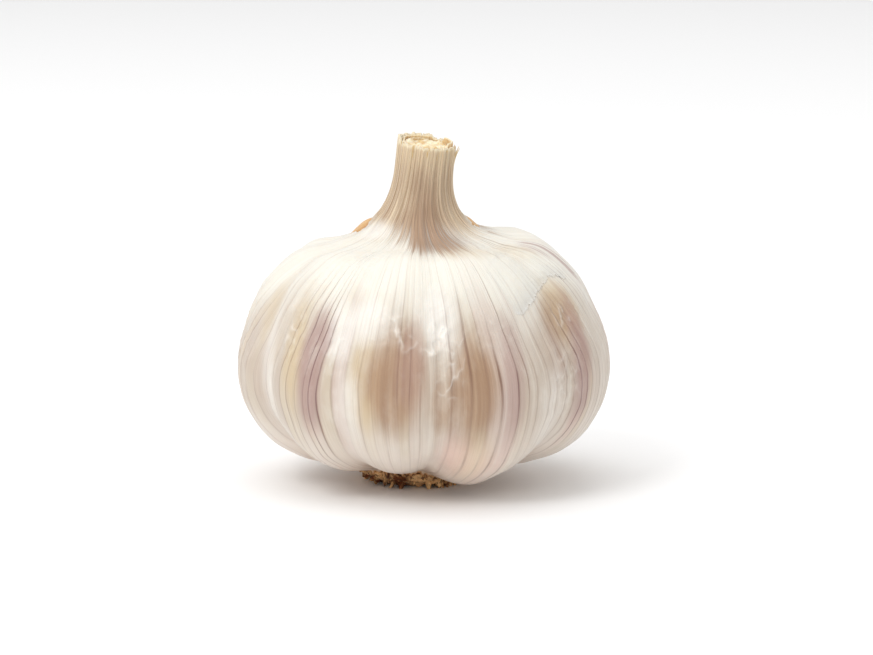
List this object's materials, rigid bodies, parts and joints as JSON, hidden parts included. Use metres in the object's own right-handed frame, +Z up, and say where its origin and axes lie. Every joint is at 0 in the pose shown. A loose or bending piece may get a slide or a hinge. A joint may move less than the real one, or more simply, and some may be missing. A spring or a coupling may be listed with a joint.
{
  "type": "garlic bulb",
  "caption": "Whole cured garlic head in papery white skin, with a cut neck above and a trimmed root plate that it stands on.",
  "frame": {"origin": "middle of the root plate's flat underside, where the head rests", "axes": "+Z up along the neck, -Y towards the front, +X to the right seen from the front"},
  "size_m": [0.0644, 0.0642, 0.0603],
  "materials": {
    "papery_skin": "satin, thin and slightly translucent, with lengthwise veins and pale mauve streaks",
    "tan_leaf": "satin, dry and brittle, orange tan",
    "sheath_leaf": "matt, dry, straw coloured",
    "pith": "matt, spongy, cream",
    "root_cork": "matt, corky, dark brown with soil in its pits"
  },
  "bodies": {
    "root": {"root_plate": "root_cork", "wrapped_bulb": "papery_skin", "inner_skin_left": "tan_leaf", "inner_skin_right": "tan_leaf", "inner_sheath": "sheath_leaf", "stalk_pith": "pith"}
  },
  "joints": []
}
